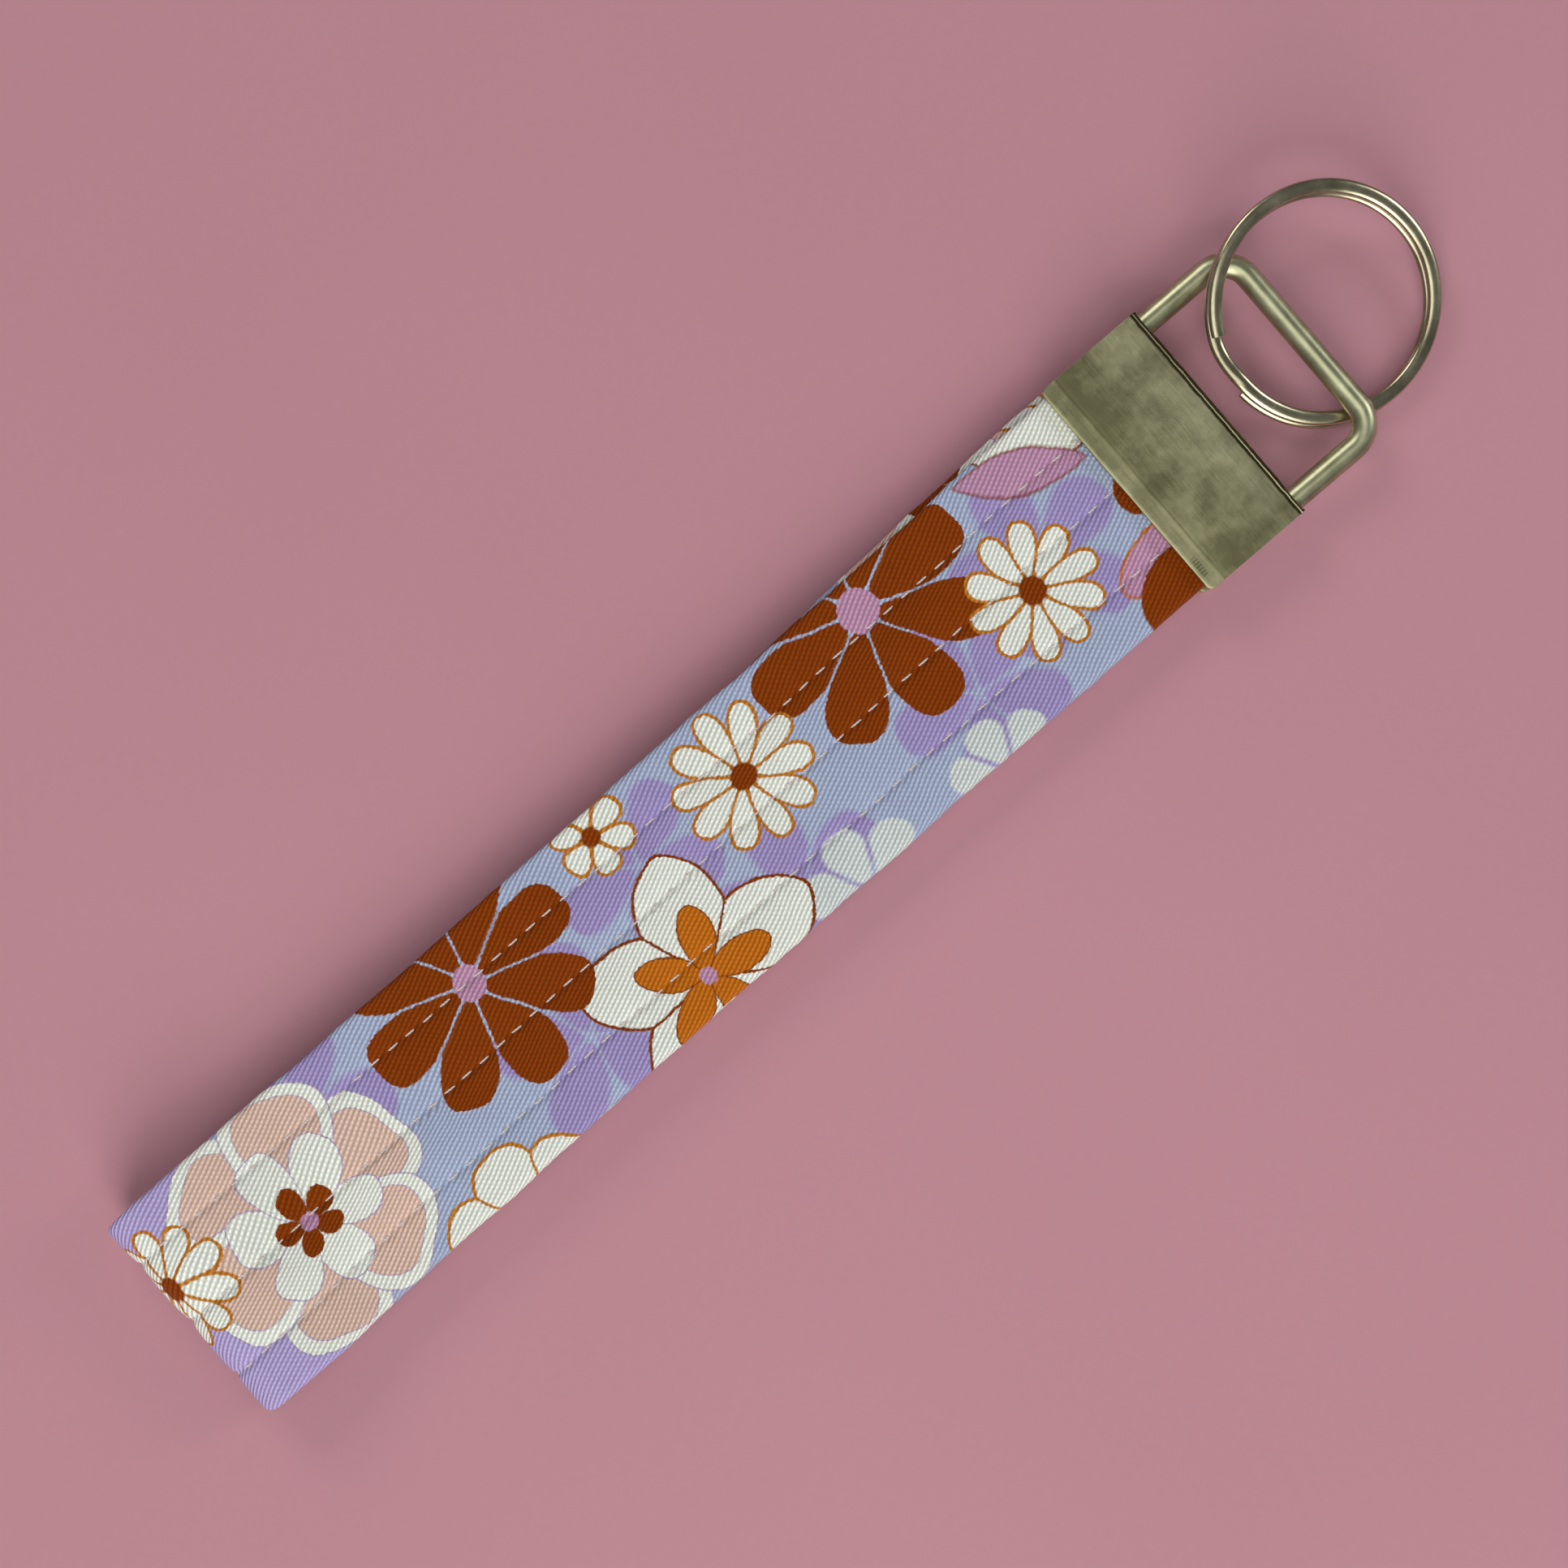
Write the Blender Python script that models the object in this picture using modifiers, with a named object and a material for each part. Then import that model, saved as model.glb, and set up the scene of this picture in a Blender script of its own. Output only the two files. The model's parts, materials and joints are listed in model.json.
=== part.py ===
"""Wristlet keychain: a folded and topstitched cotton strap, a stamped metal clamp that grips both
of its ends, a wire bail hooked into the clamp's fold, and a double-coil split ring on the bail.

Units are metres, +Z is up. +X runs along the strap towards the ring and +Y across it. The origin is
under the middle of the whole object's box, on the surface that it lies on. Sizes below are in
millimetres and go through MM.
"""
import math

import bmesh
import bpy
from mathutils import Matrix, Vector

MM = 0.001

# Where the middle of the clamp's mouth sits, seen from the origin.
MOUTH_X = 52.73
MOUTH_Y = 0.46

# Clamp: one sheet folded over the strap ends, with a boxy fold at its ring side.
CLAMP_LENGTH = 15.0
CLAMP_WIDTH = 32.0
CLAMP_HALF_HEIGHT = 3.2
CLAMP_SHEET = 0.9
CLAMP_FOLD_RADIUS = 1.2
OUTER_BEND_STEPS = 5
INNER_BEND_STEPS = 3
CRIMP_LENGTH = 2.2
CRIMP_STEP = 0.25
CLAMP_EDGE_BEVEL = 0.12
BEVEL_ABOVE_DEG = 60
TOOTH_RADIUS = 0.75
TOOTH_TIP_RADIUS = 0.1
TOOTH_HEIGHT = 0.55
TEETH_PER_JAW = 9
TEETH_SPAN = 26.0
TEETH_X = 1.1
WINDOW_DEPTH = 1.0
WINDOW_HEIGHT = 5.6
WINDOW_INNER_Y = 12.4
WINDOW_OUTER_Y = 15.95
MID_Z = CLAMP_HALF_HEIGHT

# Bail: a bent wire whose two pins lie inside the clamp's fold.
BAIL_WIRE = 3.0
BAIL_PIVOT_X = 12.4
BAIL_REACH = 16.4
BAIL_RISE = 1.5
BAIL_LEG_Y = 14.2
BAIL_BAR_CORNER = 3.8
BAIL_PIN_CORNER = 1.7
BAIL_PIN_END_Y = 3.0
CORNER_STEPS = 8

# Split ring: two flat turns joined by a short jog, lying tilted over one bail corner.
RING_CENTRE = (33.8, 1.8, 4.8)
RING_SLOPE = 0.24
RING_OUTER = 30.0
RING_WIRE_WIDTH = 1.8
RING_WIRE_HEIGHT = 1.05
RING_COIL_GAP = 0.12
RING_EDGE_CUT = 0.3
RING_START_DEG = 187.0
RING_JOG_START_DEG = 517.0
RING_JOG_END_DEG = 547.0
RING_END_DEG = 877.0
RING_STEP_DEG = 8.0

# Strap: two runs, front and back, that share one fold. It leaves the clamp at a slight angle.
STRAP_YAW_DEG = 0.93
STRAP_PITCH_DEG = 0.54
STRAP_LENGTH = 154.0
STRAP_WIDTH = 30.0
RUN_THICKNESS = 2.0
RUN_GAP = 0.3
FABRIC_WALL = 0.6
HEM_LENGTH = 1.6
HEM_SLIT = 0.3
MOUTH_HINGE = 1.0
FOLD_HINGE = 129.0
MID_HINGE = (MOUTH_HINGE + FOLD_HINGE) / 2
FOLD_RADIUS = 3.6
SLACK_AT_MID_HINGE = 0.95
SLACK_AT_END_HINGE = 0.5
FOLD_ARC_STEPS = 14
FOLD_TAPER_STEPS = 10

# Clamped tails: the strap's ends, pressed thinner between the jaws.
TAIL_THICKNESS = 1.8
TAIL_END_X = 10.4
TAIL_WIDTH = 30.0
TRENCH_START = 0.1
TRENCH_END = 2.1
TRENCH_DEPTH = 0.6

# Topstitching: three rows, whose thread lies in grooves that it has pulled into the fabric.
ROWS = {"left": 8.8, "middle": 0.3, "right": -8.5}
THREAD = 0.3
GROOVE_WIDTH = 0.8
GROOVE_DEPTH = 0.4
THREAD_SINK = 0.17

# Interfacing strip inside the folded fabric.
CORE_THICKNESS = 0.3
CORE_LOW_Y = -13.9
CORE_HIGH_Y = 12.9
CORE_INSET = 0.3

NICKEL = ((0.42, 0.41, 0.30), 0.34, 1.0)
PRINT = ((0.36, 0.37, 0.50), 0.9, 0.0)
FLEECE = ((0.85, 0.84, 0.80), 0.95, 0.0)
COTTON_THREAD = ((0.86, 0.80, 0.74), 0.8, 0.0)


def clear_scene():
    for item in list(bpy.data.objects):
        bpy.data.objects.remove(item, do_unlink=True)


def new_collection(name):
    collection = bpy.data.collections.new(name)
    bpy.context.scene.collection.children.link(collection)
    return collection


def new_material(name, look):
    colour, roughness, metallic = look
    material = bpy.data.materials.new(name)
    material.use_nodes = True
    shader = material.node_tree.nodes["Principled BSDF"]
    shader.inputs["Base Color"].default_value = (*colour, 1.0)
    shader.inputs["Roughness"].default_value = roughness
    shader.inputs["Metallic"].default_value = metallic
    return material


def new_empty(name, location, rotation, parent):
    empty = bpy.data.objects.new(name, None)
    empty.location = Vector(location) * MM
    empty.rotation_euler = rotation
    empty.parent = parent
    parts.objects.link(empty)
    return empty


def link_part(name, mesh, look, parent, smooth_deg=None):
    """Adds a finished mesh to the object as one of its pieces."""
    piece = bpy.data.objects.new(name, mesh)
    mesh.materials.clear()
    mesh.materials.append(new_material(name + "_finish", look))
    if smooth_deg is not None:
        mesh.shade_smooth()
        mesh.set_sharp_from_angle(angle=math.radians(smooth_deg))
    piece.parent = parent
    parts.objects.link(piece)
    return piece


def curve_data(name, points, dimensions, cyclic):
    """A poly curve through points given in millimetres."""
    data = bpy.data.curves.new(name, "CURVE")
    data.dimensions = dimensions
    spline = data.splines.new("POLY")
    spline.points.add(len(points) - 1)
    for slot, point in zip(spline.points, points):
        slot.co = (*(Vector(point) * MM), 1.0)
    spline.use_cyclic_u = cyclic
    return data


def mesh_from_curve(name, data, matrix=None):
    """Evaluates a curve, welds its caps and turns the mesh by matrix."""
    helper = bpy.data.objects.new(name + "_curve", data)
    bpy.context.scene.collection.objects.link(helper)
    evaluated = helper.evaluated_get(bpy.context.evaluated_depsgraph_get())
    mesh = bpy.data.meshes.new_from_object(evaluated)
    mesh.name = name
    bpy.data.objects.remove(helper, do_unlink=True)
    shape = bmesh.new()
    shape.from_mesh(mesh)
    bmesh.ops.remove_doubles(shape, verts=shape.verts, dist=0.001 * MM)
    if matrix is not None:
        bmesh.ops.transform(shape, matrix=matrix, verts=shape.verts)
    bmesh.ops.recalc_face_normals(shape, faces=shape.faces)
    shape.to_mesh(mesh)
    shape.free()
    return mesh


def mesh_along(name, data, section, matrix=None):
    """Sweeps a closed section along a curve, with closed ends."""
    outline = curve_data(name + "_section", section, "2D", True)
    profile = bpy.data.objects.new(name + "_section", outline)
    bpy.context.scene.collection.objects.link(profile)
    data.bevel_mode = "OBJECT"
    data.bevel_object = profile
    data.use_fill_caps = True
    mesh = mesh_from_curve(name, data, matrix)
    bpy.data.objects.remove(profile, do_unlink=True)
    return mesh


def wire_mesh(name, points, diameter):
    """A round wire with closed ends along points."""
    data = curve_data(name, points, "3D", False)
    data.bevel_depth = diameter / 2 * MM
    data.bevel_resolution = 2
    data.use_fill_caps = True
    return mesh_from_curve(name, data)


# A side path is drawn in the curve's own X and Y, and stood up so that its Y becomes world Z. Its own
# Z, which a section's width follows, then becomes world -Y.
STAND_UP = Matrix.Rotation(math.radians(90), 4, "X")


def swept_mesh(name, side_path, section):
    """Sweeps a closed section (thickness, width) along a path (along, height)."""
    data = curve_data(name, [(*p, 0) for p in side_path], "2D", False)
    return mesh_along(name, data, [(z, -y, 0) for z, y in section], STAND_UP)


def extruded_mesh(name, outline, width):
    """A flat side outline (along, height), given its width across."""
    data = curve_data(name, [(*p, 0) for p in outline], "2D", True)
    data.fill_mode = "BOTH"
    data.extrude = width / 2 * MM
    return mesh_from_curve(name, data, STAND_UP)


def arc(centre, radius, start_deg, end_deg, steps):
    points = []
    for step in range(steps + 1):
        angle = math.radians(start_deg + (end_deg - start_deg) * step / steps)
        points.append(
            (centre[0] + radius * math.cos(angle), centre[1] + radius * math.sin(angle))
        )
    return points


def mirrored(points):
    """The same points below the middle line, in reverse order."""
    return [(x, -y) for x, y in reversed(points)]


# ---------------------------------------------------------------- strap


def strap_section():
    """One run's fabric, seen from its end: a folded wall, open at the hemmed edge."""
    half_width = STRAP_WIDTH / 2
    half = RUN_THICKNESS / 2
    cavity = half - FABRIC_WALL
    slit = HEM_SLIT / 2
    outer = [(half, half_width)]
    for y in ROWS.values():
        outer.append((half, y + GROOVE_WIDTH / 2))
        outer.append((half - GROOVE_DEPTH, y + GROOVE_WIDTH / 4))
        outer.append((half - GROOVE_DEPTH, y - GROOVE_WIDTH / 4))
        outer.append((half, y - GROOVE_WIDTH / 2))
    outer.append((half, -half_width + half / 2))
    outer.append((half / 2, -half_width))
    inner = [
        (cavity, -half_width + FABRIC_WALL),
        (cavity, half_width - HEM_LENGTH - FABRIC_WALL),
        (slit, half_width - HEM_LENGTH),
        (slit, half_width),
    ]
    upper = outer + [(-z, y) for z, y in reversed(outer)]
    lower = [(-z, y) for z, y in reversed(inner)] + inner
    return upper + lower


def core_section():
    half = CORE_THICKNESS / 2
    return [(half, CORE_LOW_Y), (half, CORE_HIGH_Y), (-half, CORE_HIGH_Y), (-half, CORE_LOW_Y)]


def run_height(side):
    """Height of a run's middle above the strap's middle plane; side is 1 or -1."""
    return side * (RUN_GAP + RUN_THICKNESS) / 2


def straight_path(start, end, height):
    return [(-start, height), (-end, height)]


def fold_path(start, offset=0.0):
    """The side view of the fold: a taper, a round end and the taper back, moved out by offset."""
    near = run_height(1)
    centre_x = -(STRAP_LENGTH - RUN_THICKNESS / 2 - FOLD_RADIUS)
    taper = []
    for step in range(FOLD_TAPER_STEPS):
        share = step / FOLD_TAPER_STEPS
        x = -start + (centre_x + start) * share
        ease = (1 - math.cos(math.pi * share)) / 2
        taper.append((x, near + offset + (FOLD_RADIUS - near) * ease))
    round_end = arc((centre_x, 0), FOLD_RADIUS + offset, 90, 270, FOLD_ARC_STEPS)
    return taper + round_end + mirrored(taper)


# Each stretch of a run: its name, and where it starts and ends behind the clamp's mouth.
STRETCHES = {
    "near": (MOUTH_HINGE + SLACK_AT_END_HINGE, MID_HINGE - SLACK_AT_MID_HINGE),
    "far": (MID_HINGE + SLACK_AT_MID_HINGE, FOLD_HINGE - SLACK_AT_END_HINGE),
}
FOLD_START = FOLD_HINGE + SLACK_AT_END_HINGE
THREAD_LIFT = RUN_THICKNESS / 2 - THREAD_SINK


def add_straight_stretch(run, side, stretch, hinge):
    start, end = STRETCHES[stretch]
    height = run_height(side)
    name = f"{run}_{stretch}"
    away = Matrix.Translation(-hinge.location)
    cover = swept_mesh(f"cover_{name}", straight_path(start, end, height), strap_section())
    core = swept_mesh(
        f"core_{name}",
        straight_path(start + CORE_INSET, end - CORE_INSET, height),
        core_section(),
    )
    for mesh, look in ((cover, PRINT), (core, FLEECE)):
        mesh.transform(away)
        link_part(mesh.name, mesh, look, hinge)
    thread_height = height + side * THREAD_LIFT
    for row, y in ROWS.items():
        points = [(-start, y, thread_height), (-end, y, thread_height)]
        thread = wire_mesh(f"topstitch_{row}_{name}", points, THREAD)
        thread.transform(away)
        link_part(thread.name, thread, COTTON_THREAD, hinge, 60)


def add_fold(hinge):
    away = Matrix.Translation(-hinge.location)
    cover = swept_mesh("cover_fold", fold_path(FOLD_START), strap_section())
    core = swept_mesh("core_fold", fold_path(FOLD_START + CORE_INSET), core_section())
    for mesh, look in ((cover, PRINT), (core, FLEECE)):
        mesh.transform(away)
        link_part(mesh.name, mesh, look, hinge, 30)
    for row, y in ROWS.items():
        path = [(x, y, z) for x, z in fold_path(FOLD_START, THREAD_LIFT)]
        thread = wire_mesh(f"topstitch_{row}_fold", path, THREAD)
        thread.transform(away)
        link_part(thread.name, thread, COTTON_THREAD, hinge, 60)


def tail_outline(side):
    """A clamped tail's side view: its outer face has a trench where the teeth bite."""
    inner = side * RUN_GAP / 2
    outer = inner + side * TAIL_THICKNESS
    floor = outer - side * TRENCH_DEPTH
    return [
        (-SLACK_AT_END_HINGE, inner),
        (-SLACK_AT_END_HINGE, outer),
        (TRENCH_START, outer),
        (TRENCH_START, floor),
        (TRENCH_END, floor),
        (TRENCH_END, outer),
        (TAIL_END_X, outer),
        (TAIL_END_X, inner),
    ]


def add_tail(run, side, parent):
    mesh = extruded_mesh(f"cover_{run}_tail", tail_outline(side), TAIL_WIDTH)
    mesh.transform(Matrix.Translation((0, 0, MID_Z * MM)))
    link_part(mesh.name, mesh, PRINT, parent)


# ---------------------------------------------------------------- clamp


def clamp_outline():
    """The clamp's side view: two jaws, a crimped step at the mouth and a boxy fold."""
    outer = CLAMP_HALF_HEIGHT
    inner = outer - CLAMP_SHEET
    nose = CLAMP_LENGTH
    corner = CLAMP_FOLD_RADIUS
    inner_corner = corner - CLAMP_SHEET
    upper_outside = [
        (0, outer - CRIMP_STEP),
        (CRIMP_LENGTH, outer - CRIMP_STEP),
        (CRIMP_LENGTH + CRIMP_STEP, outer),
    ]
    upper_outside += arc((nose - corner, outer - corner), corner, 90, 0, OUTER_BEND_STEPS)
    upper_inside = arc((nose - corner, outer - corner), inner_corner, 0, 90, INNER_BEND_STEPS)
    upper_inside += [
        (CRIMP_LENGTH + CRIMP_STEP, inner),
        (CRIMP_LENGTH, inner - CRIMP_STEP),
        (0, inner - CRIMP_STEP),
    ]
    return upper_outside + mirrored(upper_outside) + mirrored(upper_inside) + upper_inside


def add_cutter(name, centre, size):
    """A box used as a Boolean operand, hidden from renders."""
    mesh = bpy.data.meshes.new(name)
    shape = bmesh.new()
    bmesh.ops.create_cube(shape, size=1.0)
    bmesh.ops.scale(shape, vec=Vector(size) * MM, verts=shape.verts)
    shape.to_mesh(mesh)
    shape.free()
    return place_tool(name, mesh, centre)


def place_tool(name, mesh, centre):
    tool = bpy.data.objects.new(name, mesh)
    tool.location = Vector(centre) * MM
    tool.parent = hardware
    tool.hide_render = True
    tool.display_type = "WIRE"
    cutters.objects.link(tool)
    return tool


def tooth_mesh():
    mesh = bpy.data.meshes.new("tooth")
    shape = bmesh.new()
    bmesh.ops.create_cone(
        shape, cap_ends=True, segments=4, radius1=TOOTH_RADIUS * MM,
        radius2=TOOTH_TIP_RADIUS * MM, depth=2 * TOOTH_HEIGHT * MM,
    )
    shape.to_mesh(mesh)
    shape.free()
    return mesh


def boolean(piece, tool, operation):
    modifier = piece.modifiers.new(tool.name, "BOOLEAN")
    modifier.object = tool
    modifier.operation = operation
    modifier.solver = "EXACT"


def add_clamp():
    mesh = extruded_mesh("clamp_shell", clamp_outline(), CLAMP_WIDTH)
    mesh.transform(Matrix.Translation((0, 0, MID_Z * MM)))
    shell = link_part("clamp_shell", mesh, NICKEL, hardware, 30)
    bevel = shell.modifiers.new("edges", "BEVEL")
    bevel.width = CLAMP_EDGE_BEVEL * MM
    bevel.segments = 1
    bevel.limit_method = "ANGLE"
    bevel.angle_limit = math.radians(BEVEL_ABOVE_DEG)
    window_y = (WINDOW_INNER_Y + WINDOW_OUTER_Y) / 2
    window_size = (2 * WINDOW_DEPTH, WINDOW_OUTER_Y - WINDOW_INNER_Y, WINDOW_HEIGHT)
    for side in (1, -1):
        centre = (CLAMP_LENGTH, side * window_y, MID_Z)
        boolean(shell, add_cutter(f"leg_window_{side}", centre, window_size), "DIFFERENCE")
    mesh = tooth_mesh()
    jaw_inside = CLAMP_HALF_HEIGHT - CLAMP_SHEET - CRIMP_STEP
    for jaw in (1, -1):
        for tooth in range(TEETH_PER_JAW):
            y = TEETH_SPAN * (tooth / (TEETH_PER_JAW - 1) - 0.5)
            centre = (TEETH_X, y, MID_Z + jaw * jaw_inside)
            tool = place_tool(f"tooth_{jaw}_{tooth}", mesh, centre)
            tool.rotation_euler = (math.pi if jaw > 0 else 0, 0, 0)
            boolean(shell, tool, "UNION")


# ---------------------------------------------------------------- bail and ring


def bail_path():
    """Half of the bail from its pin's end to the bar's middle, then its mirror image."""
    reach = math.hypot(BAIL_REACH, BAIL_RISE)
    pin, corner, leg = BAIL_PIN_CORNER, BAIL_BAR_CORNER, BAIL_LEG_Y
    half = [(0, BAIL_PIN_END_Y)]
    half += arc((pin, leg - pin), pin, 180, 90, CORNER_STEPS)
    half += arc((reach - corner, leg - corner), corner, 90, 0, CORNER_STEPS)
    return [(x, y, 0) for x, y in half + mirrored(half)]


def add_bail():
    tilt = -math.atan2(BAIL_RISE, BAIL_REACH)
    pivot = new_empty("bail_pivot", (BAIL_PIVOT_X, 0, MID_Z), (0, tilt, 0), hardware)
    mesh = wire_mesh("bail", bail_path(), BAIL_WIRE)
    link_part("bail", mesh, NICKEL, pivot, 50)


def ring_height(angle):
    """Height of the wire's middle: the lower turn, the jog, then the upper turn."""
    level = (RING_WIRE_HEIGHT + RING_COIL_GAP) / 2
    share = (angle - RING_JOG_START_DEG) / (RING_JOG_END_DEG - RING_JOG_START_DEG)
    share = min(1.0, max(0.0, share))
    return level * (2 * share * share * (3 - 2 * share) - 1)


def ring_path():
    radius = (RING_OUTER - RING_WIRE_WIDTH) / 2
    steps = round((RING_END_DEG - RING_START_DEG) / RING_STEP_DEG)
    points = []
    for step in range(steps + 1):
        angle = RING_START_DEG + (RING_END_DEG - RING_START_DEG) * step / steps
        turn = math.radians(angle)
        points.append((radius * math.cos(turn), radius * math.sin(turn), ring_height(angle)))
    return points


def ring_section():
    """The wire's section: flat inside, where the turns meet, and rounded outside."""
    w, h = RING_WIRE_WIDTH / 2, RING_WIRE_HEIGHT / 2
    cut = RING_EDGE_CUT
    return [
        (w, h - cut), (w - cut, h), (cut - w, h), (-w, h - cut),
        (-w, cut - h), (cut - w, -h), (w - cut, -h), (w, cut - h),
    ]


def add_ring():
    data = curve_data("split_ring", ring_path(), "3D", False)
    data.twist_mode = "Z_UP"
    mesh = mesh_along("split_ring", data, [(*p, 0) for p in ring_section()])
    centre = new_empty("ring_centre", RING_CENTRE, (math.atan(RING_SLOPE), 0, 0), hardware)
    link_part("split_ring", mesh, NICKEL, centre, 40)


# ---------------------------------------------------------------- assembly

clear_scene()
parts = new_collection("wristlet_keychain")
cutters = new_collection("cutters")

hardware = new_empty("hardware", (MOUTH_X, MOUTH_Y, 0), (0, 0, 0), None)
strap_angles = (0, math.radians(STRAP_PITCH_DEG), math.radians(STRAP_YAW_DEG))
strap = new_empty("strap", (0, 0, MID_Z), strap_angles, hardware)

add_clamp()
add_bail()
add_ring()
for run_name, run_side in (("front", 1), ("back", -1)):
    add_tail(run_name, run_side, hardware)
    for stretch_name, hinge_at in (("near", MOUTH_HINGE), ("far", MID_HINGE)):
        hinge_place = (-hinge_at, 0, run_height(run_side))
        hinge_empty = new_empty(f"{run_name}_{stretch_name}_hinge", hinge_place, (0, 0, 0), strap)
        add_straight_stretch(run_name, run_side, stretch_name, hinge_empty)
add_fold(new_empty("fold_hinge", (-FOLD_HINGE, 0, run_height(1)), (0, 0, 0), strap))
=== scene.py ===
"""Looks of the wristlet keychain: printed cotton strap, stamped clamp, wire bail and split ring.

The frame gives every place in metres. Shapes below are worked out in millimetres from the clamp's
mouth, along the strap (x, negative towards the fold), across it (y) and up (z).
"""

import bisect
import json
import math

import bmesh
import bpy
from mathutils import Matrix, Vector, noise


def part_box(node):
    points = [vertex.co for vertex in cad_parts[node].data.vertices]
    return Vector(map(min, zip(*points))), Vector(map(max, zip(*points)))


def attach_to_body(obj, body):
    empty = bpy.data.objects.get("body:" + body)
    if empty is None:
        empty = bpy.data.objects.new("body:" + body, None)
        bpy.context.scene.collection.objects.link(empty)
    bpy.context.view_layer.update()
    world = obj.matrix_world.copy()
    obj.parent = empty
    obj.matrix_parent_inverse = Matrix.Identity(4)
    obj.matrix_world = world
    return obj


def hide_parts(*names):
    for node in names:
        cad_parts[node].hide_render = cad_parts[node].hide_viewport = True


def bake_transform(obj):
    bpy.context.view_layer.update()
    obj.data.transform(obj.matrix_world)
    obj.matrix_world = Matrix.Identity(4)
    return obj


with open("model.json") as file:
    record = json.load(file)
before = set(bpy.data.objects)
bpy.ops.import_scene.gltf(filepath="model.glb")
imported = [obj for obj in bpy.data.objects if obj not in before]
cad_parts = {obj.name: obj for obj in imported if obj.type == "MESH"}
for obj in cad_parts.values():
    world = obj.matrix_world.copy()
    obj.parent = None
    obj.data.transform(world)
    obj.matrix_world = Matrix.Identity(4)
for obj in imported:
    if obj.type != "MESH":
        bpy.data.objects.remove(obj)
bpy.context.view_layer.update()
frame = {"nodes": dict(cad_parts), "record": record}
MM = 0.001

# ------------------------------------------------------------------ places, from the frame

JOINTS = {joint["name"]: joint for joint in frame["record"]["behaviour"]["joints"]}
CLAMP_LOW, CLAMP_HIGH = (Vector(corner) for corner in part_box("clamp_shell"))
CLAMP_MIDDLE = (CLAMP_LOW + CLAMP_HIGH) / 2
CLAMP_MOUTH = Vector((CLAMP_LOW.x, CLAMP_MIDDLE.y, CLAMP_MIDDLE.z))
CLAMP_LENGTH = (CLAMP_HIGH.x - CLAMP_LOW.x) / MM
CLAMP_HALF_WIDTH = (CLAMP_HIGH.y - CLAMP_LOW.y) / 2 / MM
CLAMP_HALF_HEIGHT = (CLAMP_HIGH.z - CLAMP_LOW.z) / 2 / MM

# Distances of the strap's hinges from the clamp's mouth.
MOUTH_HINGE = 1.0
MID_HINGE = 65.0
FOLD_HINGE = 129.0


def joint_place(name):
    return Vector(JOINTS[name]["pos_m"])


def strap_matrix():
    """Takes strap millimetres (x back from the mouth is negative, y across, z up) to the frame."""
    mid = (joint_place("front_bend") + joint_place("back_bend")) / 2
    fold = (joint_place("fold_turn_front") + joint_place("fold_turn_back")) / 2
    forward = (mid - fold).normalized()
    across = Vector(JOINTS["loop_open"]["axis"]).normalized()
    up = forward.cross(across)
    origin = mid + forward * MID_HINGE * MM
    turn = Matrix((forward, across, up)).transposed().to_4x4()
    return Matrix.Translation(origin) @ turn @ Matrix.Scale(MM, 4)


STRAP = strap_matrix()
HARDWARE = Matrix.Translation(CLAMP_MOUTH) @ Matrix.Scale(MM, 4)


# ------------------------------------------------------------------ shader maths


class Value:
    """A shader value that takes part in Python sums: each step adds a Math node."""

    def __init__(self, maker, socket):
        self.maker = maker
        self.socket = socket

    def step(self, operation, *others, clamp=False):
        return self.maker.node(
            "ShaderNodeMath", {"operation": operation, "use_clamp": clamp}, [self, *others]
        )

    def __add__(self, other):
        return self.step("ADD", other)

    def __radd__(self, other):
        return self.step("ADD", other)

    def __sub__(self, other):
        return self.step("SUBTRACT", other)

    def __rsub__(self, other):
        return (self * -1.0).step("ADD", other)

    def __mul__(self, other):
        return self.step("MULTIPLY", other)

    def __rmul__(self, other):
        return self.step("MULTIPLY", other)

    def __truediv__(self, other):
        return self.step("DIVIDE", other)

    def __pow__(self, other):
        return self.step("POWER", other)

    def __abs__(self):
        return self.step("ABSOLUTE")

    def sin(self):
        return self.step("SINE")

    def cos(self):
        return self.step("COSINE")

    def sqrt(self):
        return self.step("SQRT")

    def min(self, other):
        return self.step("MINIMUM", other)

    def max(self, other):
        return self.step("MAXIMUM", other)

    def wrap(self, high, low):
        """Folds the value into low to high."""
        return self.step("WRAP", high, low)

    def edge(self, softness):
        """0 below zero and 1 above it, with a soft step between."""
        return (self * (0.5 / softness)).step("ADD", 0.5, clamp=True)


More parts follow.
